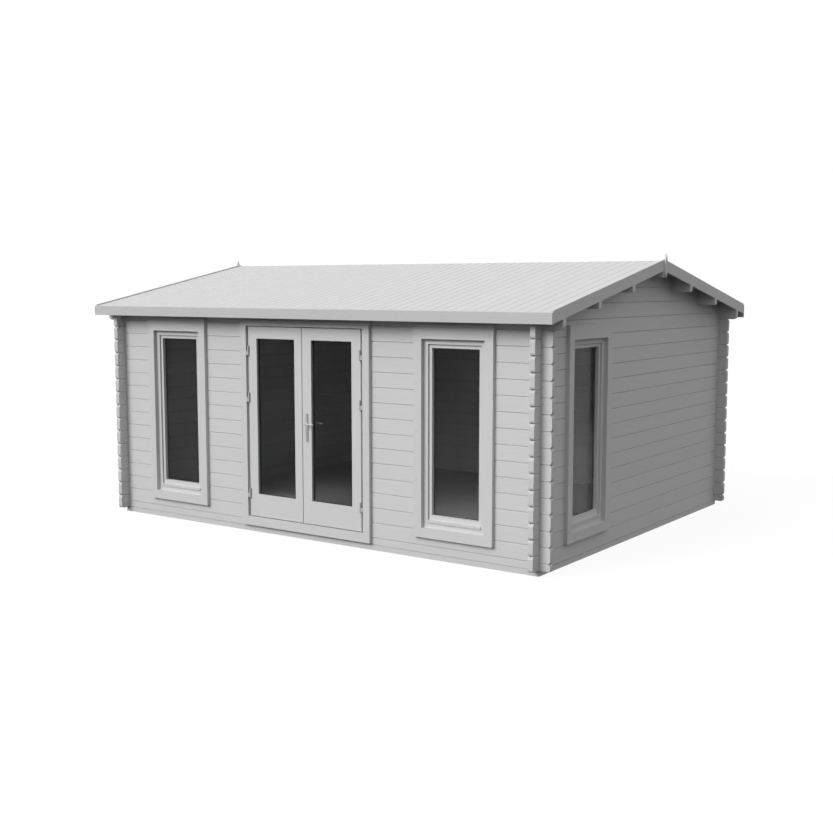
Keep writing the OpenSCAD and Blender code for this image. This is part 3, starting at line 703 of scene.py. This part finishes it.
def glaze(name, boxes, axis, out, body, shade_liner_depth):
    """Seals outside and a dark lining inside, partly painted shade, for panes that face along one axis."""
    seals = bmesh.new()
    shade_liners = bmesh.new()
    side = AXIS[axis]
    across = 1 - side
    for low, high in boxes:
        corner = (low[across] + PANE_HIDDEN, low[UPRIGHT] + PANE_HIDDEN)
        far = (high[across] - PANE_HIDDEN, high[UPRIGHT] - PANE_HIDDEN)
        outer, inner = (high[side], low[side]) if out > 0 else (low[side], high[side])
        mitred(seals, on_face(axis, outer, out), corner, far, seal_section())
        mitred(shade_liners, on_face(axis, inner, -out), corner, far, shade_liner_section(shade_liner_depth))
    piece(name + "_seals", seals, rubber, body)
    piece(name + "_liners", shade_liners, rubber, body)


front_panes = [box for box in panes if box[1].y - box[0].y < box[1].x - box[0].x]
gable_panes = [box for box in panes if box not in front_panes]
glaze("front_window", front_panes, "y", -1, "cabin", WINDOW_SHADE_LINER)
glaze("gable_window", gable_panes, "x", 1, "cabin", WINDOW_SHADE_LINER)
glaze("left_door", solids("left_door_pane"), "y", -1, "left_door", DOOR_SHADE_LINER)
glaze("right_door", solids("right_door_pane"), "y", -1, "right_door", DOOR_SHADE_LINER)

# %% [markdown]
# ## Door furniture
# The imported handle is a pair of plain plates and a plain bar. Here the plates get round corners, a bevelled
# rim, a collar for the lever and an oval round the keyhole. Turned parts such as the collar, the screws and
# the hinge caps are all a profile of radius and height swept round an axis.

# %% Slabs with round corners
CORNER_STEPS = 6
QUARTER = 90


def rounded(low, high, corner, inset):
    """Outline of a rectangle with round corners, drawn in by an inset."""
    centres = ((high[0] - corner, high[1] - corner), (low[0] + corner, high[1] - corner),
               (low[0] + corner, low[1] + corner), (high[0] - corner, low[1] + corner))
    points = []
    for turn, (centre_u, centre_v) in enumerate(centres):
        for step in range(CORNER_STEPS + 1):
            angle = math.radians(QUARTER * (turn + step / CORNER_STEPS))
            points.append((centre_u + (corner - inset) * math.cos(angle),
                           centre_v + (corner - inset) * math.sin(angle)))
    return points


def slab(builder, place, low, high, corner, rises, bevel):
    """A rounded slab that stands out from a face between two rises, with a bevelled front."""
    levels = ((0, rises[0]), (0, rises[1] - bevel), (bevel, rises[1]))
    join_rings(builder, [[place(u, v, rise) for u, v in rounded(low, high, corner, inset)]
                         for inset, rise in levels])


def oval(builder, place, centre, half, rises, bevel):
    """A slab with round ends, given by its middle and by half its width and height."""
    low = (centre[0] - half[0], centre[1] - half[1])
    high = (centre[0] + half[0], centre[1] + half[1])
    slab(builder, place, low, high, half[0] - SEAT, rises, bevel)


print("a round corner has", CORNER_STEPS, "steps")

# %% Turned parts
TURNED_SIDES = 16
# Radius and rise of a screw head with a recess, as shares of its size.
SCREW_SHARES = ((1.0, 0.0), (0.95, 0.25), (0.62, 0.5), (0.36, 0.5), (0.28, 0.2))


def turned(builder, place, centre, profile):
    """A turned part on a face: the profile lists radius and rise."""
    angles = [math.tau * step / TURNED_SIDES for step in range(TURNED_SIDES)]
    join_rings(builder, [[place(centre[0] + radius * math.cos(a), centre[1] + radius * math.sin(a), rise)
                          for a in angles] for radius, rise in profile])


def screw(builder, place, centre, size):
    """A round screw head with a recess."""
    turned(builder, place, centre, [(size * radius, SEAT + size * rise) for radius, rise in SCREW_SHARES])


print("turned parts have", TURNED_SIDES, "sides")

# %% Handle plates with collar, keyhole and screws
PLATE_CORNER = 0.006
PLATE_BEVEL = 0.002
KEY_UP = 0.075
KEY_HALF = (0.0085, 0.0165)
KEY_RISE = 0.004
SLOT_HALF = (0.0013, 0.0055)
SLOT_RISE = 0.0006
PLATE_SCREW = 0.0036
SCREW_IN = 0.014
COLLAR = ((0.0125, 0.0), (0.0125, 0.004), (0.0115, 0.006), (0.009, 0.007))

lever_low, lever_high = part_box("lever_handle")
LEVER_R = (lever_high.z - lever_low.z) / 2
spindle = (lever_low.x + LEVER_R, (lever_low.z + lever_high.z) / 2)
plates = sorted(solids("handle_plates"), key=lambda box: box[0].y)
plate_t = plates[0][1].y - plates[0][0].y
plate_builder = bmesh.new()
keyhole = bmesh.new()
for (low, high), face, out in ((plates[0], plates[0][1].y, -1), (plates[1], plates[1][0].y, 1)):
    back = on_face("y", face, out)
    front = on_face("y", face + out * plate_t, out)
    middle = (low.x + high.x) / 2
    key = (middle, low.z + KEY_UP)
    slab(plate_builder, back, (low.x, low.z), (high.x, high.z), PLATE_CORNER, (0, plate_t), PLATE_BEVEL)
    turned(plate_builder, front, spindle, [(radius, rise + SEAT) for radius, rise in COLLAR])
    oval(plate_builder, front, key, KEY_HALF, (SEAT, KEY_RISE), PLATE_BEVEL / 2)
    oval(keyhole, front, key, SLOT_HALF, (KEY_RISE + SEAT, KEY_RISE + SLOT_RISE), SEAT)
    for height in (low.z + SCREW_IN, high.z - SCREW_IN):
        screw(plate_builder, front, (middle, height), PLATE_SCREW)
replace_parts(piece("door_plates", plate_builder, metal, "right_door"), "handle_plates")
piece("keyholes", keyhole, rubber, "right_door")

# %% [markdown]
# The lever itself is a sweep. Its path leaves the collar, bends through a quarter turn and runs out to a
# rounded tip, while its section changes from a round neck to a flatter grip.

# %% Path and section of the lever
NECK_R = 0.0075
NECK_START = 0.0005
GRIP_HALF = (0.0052, LEVER_R)
BEND = 0.018
BEND_STEPS = 8
LEVER_SIDES = 20
TIP = 0.008
# Distance from the end as a share of the tip's length, and the size of the section there.
TIP_SHARES = ((1, 1), (1 / 2, 0.9), (1 / 6, 0.7), (0, 0.4))


def lever_stations(length, out):
    """Points of the path with direction, half thickness and half height of the section."""
    stations = [(0, NECK_START, QUARTER, NECK_R, NECK_R), (0, out - BEND, QUARTER, NECK_R, NECK_R)]
    for step in range(1, BEND_STEPS + 1):
        share = step / BEND_STEPS
        angle = math.radians(QUARTER * share)
        across, up = [NECK_R + (half - NECK_R) * share for half in GRIP_HALF]
        stations.append((BEND * (1 - math.cos(angle)), out - BEND + BEND * math.sin(angle),
                         QUARTER * (1 - share), across, up))
    ends = [(length / 2, 1)] + [(length - TIP * back, scale) for back, scale in TIP_SHARES]
    for along, scale in ends:
        stations.append((along, out, 0, GRIP_HALF[0] * scale, GRIP_HALF[1] * scale))
    return stations


def lever_ring(place, station):
    """One ring of points about a station of the path."""
    along, rise, direction, across, up = station
    turn = math.radians(direction)
    ring = []
    for side in range(LEVER_SIDES):
        angle = math.tau * side / LEVER_SIDES
        sideways = across * math.cos(angle)
        ring.append(place(spindle[0] + along - sideways * math.sin(turn), spindle[1] + up * math.sin(angle),
                          rise + sideways * math.cos(turn)))
    return ring


print("the lever's neck is", 2 * NECK_R, "m thick")

# %% The lever on both faces of the leaf
SPINDLE_HALF = 0.004
LEVER_LENGTH = lever_high.x - spindle[0]
lever_builder = bmesh.new()
outer_face = plates[0][0].y
inner_face = plates[1][1].y
outer_reach = outer_face - lever_low.y
inner_reach = lever_high.y - inner_face
for face, out, reach in ((outer_face, -1, outer_reach), (inner_face, 1, inner_reach)):
    place = on_face("y", face, out)
    stations = lever_stations(LEVER_LENGTH, reach - GRIP_HALF[0])
    join_rings(lever_builder, [lever_ring(place, station) for station in stations])
corners = ((-1, -1), (1, -1), (1, 1), (-1, 1))
square = [(spindle[0] + a * SPINDLE_HALF, spindle[1] + b * SPINDLE_HALF) for a, b in corners]
join_rings(lever_builder, [[(x, y, z) for x, z in square] for y in (outer_face, inner_face)])
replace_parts(piece("door_lever", lever_builder, bright_metal, "lever"), "lever_handle")

# %% [markdown]
# Each hinge has a small domed cap at both ends of its barrel. The lower caps belong to the halves on the
# jambs, the upper ones to the halves on the leaves, so each cap rides with its own half.

# %% Hinge caps
CAP = ((0.0086, 0.0), (0.0086, 0.0016), (0.0075, 0.0036), (0.005, 0.0052), (0.002, 0.006))
hinge_at = {entry["name"]: entry["pos_m"] for entry in frame["joints"]}
left_pin = hinge_at["left_door_hinge"]
right_pin = hinge_at["right_door_hinge"]


def hinge_caps(name, node, pins, body, out):
    """Domed caps on the free ends of hinge barrels, which are the upper ends where out is 1."""
    builder = bmesh.new()
    for low, high in solids(node):
        pin = min(pins, key=lambda point: abs(point[0] - (low.x + high.x) / 2))
        end = high.z if out > 0 else low.z
        turned(builder, on_face("z", end + out * SEAT, out), pin, CAP)
    piece(name, builder, coated, body)


hinge_caps("jamb_hinge_caps", "jamb_hinge_halves", [left_pin, right_pin], "cabin", -1)
hinge_caps("left_leaf_hinge_caps", "left_leaf_hinge_halves", [left_pin], "left_door", 1)
hinge_caps("right_leaf_hinge_caps", "right_leaf_hinge_halves", [right_pin], "right_door", 1)

# %% [markdown]
# ## Screws
# The casings, the eave boards and the gable boards are screwed on from outside. Rows of small heads follow
# the outer edge of each casing and the middle of each board.

# %% Screw heads on the casings
HEAD = 0.0042
EDGE_IN = 0.03
END_IN = 0.09
CASING_SCREWS = 5


def spread(start, end, count):
    """Evenly spaced places from start to end."""
    return [start + (end - start) * step / (count - 1) for step in range(count)]


def casing_row(builder, low, high, axis, out, middle):
    """A row of screws along the edge of a casing that lies away from the middle of its opening."""
    side = AXIS[axis]
    across = 1 - side
    face = high[side] if out > 0 else low[side]
    before = low[across] + high[across] < 2 * middle
    edge = low[across] + EDGE_IN if before else high[across] - EDGE_IN
    for height in spread(low.z + END_IN, high.z - END_IN, CASING_SCREWS):
        screw(builder, on_face(axis, face, out), (edge, height), HEAD)


heads = bmesh.new()
for low, high in solids("door_jambs"):
    casing_row(heads, low, high, "y", -1, 0)
for low, high in solids("window_jambs"):
    pane = min(panes, key=lambda box: (box[0] + box[1] - low - high).length)
    axis, out = ("x", 1) if pane in gable_panes else ("y", -1)
    pane_middle = (pane[0] + pane[1]) / 2
    casing_row(heads, low, high, axis, out, pane_middle[1 - AXIS[axis]])
piece("casing_screws", heads, coated, "cabin")

# %% Screw heads on eave and gable boards
EAVE_SCREWS = 12
GABLE_SCREWS = 5
GABLE_BOARD_H = 0.088
heads = bmesh.new()
for node, out in (("front_eave_board", -1), ("back_eave_board", 1)):
    low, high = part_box(node)
    face = low.y if out < 0 else high.y
    for x in spread(low.x + END_IN, high.x - END_IN, EAVE_SCREWS):
        screw(heads, on_face("y", face, out), (x, (low.z + high.z) / 2), HEAD)
for node, side in (("front_gable_boards", -1), ("back_gable_boards", 1)):
    low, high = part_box(node)
    for y in spread(END_IN, high.y - low.y - END_IN, GABLE_SCREWS):
        height = high.z - y * math.tan(ROOF_PITCH) - GABLE_BOARD_H * RISE_PLUMB / 2
        for face, out in ((high.x, 1), (low.x, -1)):
            screw(heads, on_face("x", face, out), (side * y, height), HEAD)
piece("roof_edge_screws", heads, coated, "cabin")

# %% [markdown]
# ## Ground, light and camera
# The cabin stands on a plain white ground under one soft sun from the front left and a sky that is brightest
# overhead. White ground and sky show to the camera, in reflections and through the glass, but light that has
# bounced off timber meets a darker ground and a softer sky, so the white adds no light inside the cabin. The
# camera was solved from the cabin's known sizes, so its place, turn and focal length are plain numbers here.

# %% Ground
GROUND_HALF = 60.0
GROUND_WHITE_SHARE = 0.9
GROUND_SEEN = 0.9
GROUND_WHITE = 1.02
GROUND_BOUNCE = 0.03


def seen_directly(tree):
    """One for rays from the camera, in a reflection or through glass; zero once light has bounced."""
    rays = add(tree, "ShaderNodeLightPath")
    mirrored = maths(tree, "MAXIMUM", rays.outputs["Is Glossy Ray"], rays.outputs["Is Transmission Ray"])
    looking = maths(tree, "MAXIMUM", rays.outputs["Is Camera Ray"], mirrored)
    bounced = maths(tree, "MINIMUM", rays.outputs["Diffuse Depth"], 1.0)
    return maths(tree, "SUBTRACT", looking, maths(tree, "MULTIPLY", looking, bounced))


builder = bmesh.new()
bmesh.ops.create_grid(builder, x_segments=1, y_segments=1, size=GROUND_HALF)
ground_mesh = bpy.data.meshes.new("ground")
builder.to_mesh(ground_mesh)
builder.free()
ground = bpy.data.objects.new("ground", ground_mesh)
bpy.context.scene.collection.objects.link(ground)
ground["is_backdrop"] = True
ground_finish = bpy.data.materials.new("ground_white")
ground_finish.use_nodes = True
tree = ground_finish.node_tree
tree.nodes.clear()
seen = seen_directly(tree)
ground_tone = blend_colour(tree, seen, grey(GROUND_BOUNCE), grey(GROUND_SEEN))
lit = add(tree, "ShaderNodeBsdfDiffuse", Color=ground_tone)
white = add(tree, "ShaderNodeEmission", Color=WHITE, Strength=GROUND_WHITE)
mixed = add(tree, "ShaderNodeMixShader", in0=maths(tree, "MULTIPLY", seen, GROUND_WHITE_SHARE),
            in1=lit.outputs[0], in2=white.outputs[0])
add(tree, "ShaderNodeOutputMaterial", Surface=mixed.outputs[0])
ground_mesh.materials.append(ground_finish)
print("ground is", 2 * GROUND_HALF, "m wide")

# %% Sky and sun
SKY_LOW = 0.46
SKY_RISE = 0.5
SUN_LEVEL = 2.34
SUN_SIZE = math.radians(34)
SUN_FROM = Vector((-0.33, -0.80, 0.52)).normalized()
world = bpy.data.worlds.new("plain_sky")
bpy.context.scene.world = world
world.use_nodes = True
tree = world.node_tree
tree.nodes.clear()
direction = add(tree, "ShaderNodeTexCoord").outputs["Generated"]
upward = add(tree, "ShaderNodeSeparateXYZ", Vector=direction).outputs["Z"]
sky_level = maths(tree, "MULTIPLY_ADD", maths(tree, "MAXIMUM", upward, 0.0), SKY_RISE, SKY_LOW)
sky = add(tree, "ShaderNodeBackground", Color=WHITE, Strength=sky_level)
backdrop = add(tree, "ShaderNodeBackground", Color=WHITE, Strength=1.0)
mixed = add(tree, "ShaderNodeMixShader", in0=seen_directly(tree), in1=sky.outputs[0], in2=backdrop.outputs[0])
add(tree, "ShaderNodeOutputWorld", Surface=mixed.outputs[0])
sun_lamp = bpy.data.lights.new("sun", "SUN")
sun_lamp.energy = SUN_LEVEL
sun_lamp.angle = SUN_SIZE
sun = bpy.data.objects.new("sun", sun_lamp)
sun.rotation_euler = SUN_FROM.to_track_quat("Z", "Y").to_euler()
bpy.context.scene.collection.objects.link(sun)
print("sun from", [round(v, 2) for v in SUN_FROM])

# %% Camera
IMAGE_PX = 833.0
FOCAL_PX = 1168.9
SENSOR = 36.0
FAR_CLIP = 500.0
CAMERA_AT = Vector((6.7964, -9.8542, 2.2850))
CAMERA_PITCH = math.radians(-6.376)
CAMERA_YAW = math.radians(125.026)
lens = bpy.data.cameras.new("camera")
lens.sensor_width = SENSOR
lens.sensor_fit = "HORIZONTAL"
lens.lens = FOCAL_PX * SENSOR / IMAGE_PX
lens.clip_end = FAR_CLIP
camera = bpy.data.objects.new("camera", lens)
camera.location = CAMERA_AT
camera.rotation_euler = (math.radians(90) + CAMERA_PITCH, 0, CAMERA_YAW - math.radians(90))
bpy.context.scene.collection.objects.link(camera)
bpy.context.scene.camera = camera
bpy.context.scene.view_settings.view_transform = "Standard"
print("lens", round(lens.lens, 2), "mm")

# %% Print the sizes and finish
low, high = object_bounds()
print("visual box", [round(v, 3) for v in low], [round(v, 3) for v in high])
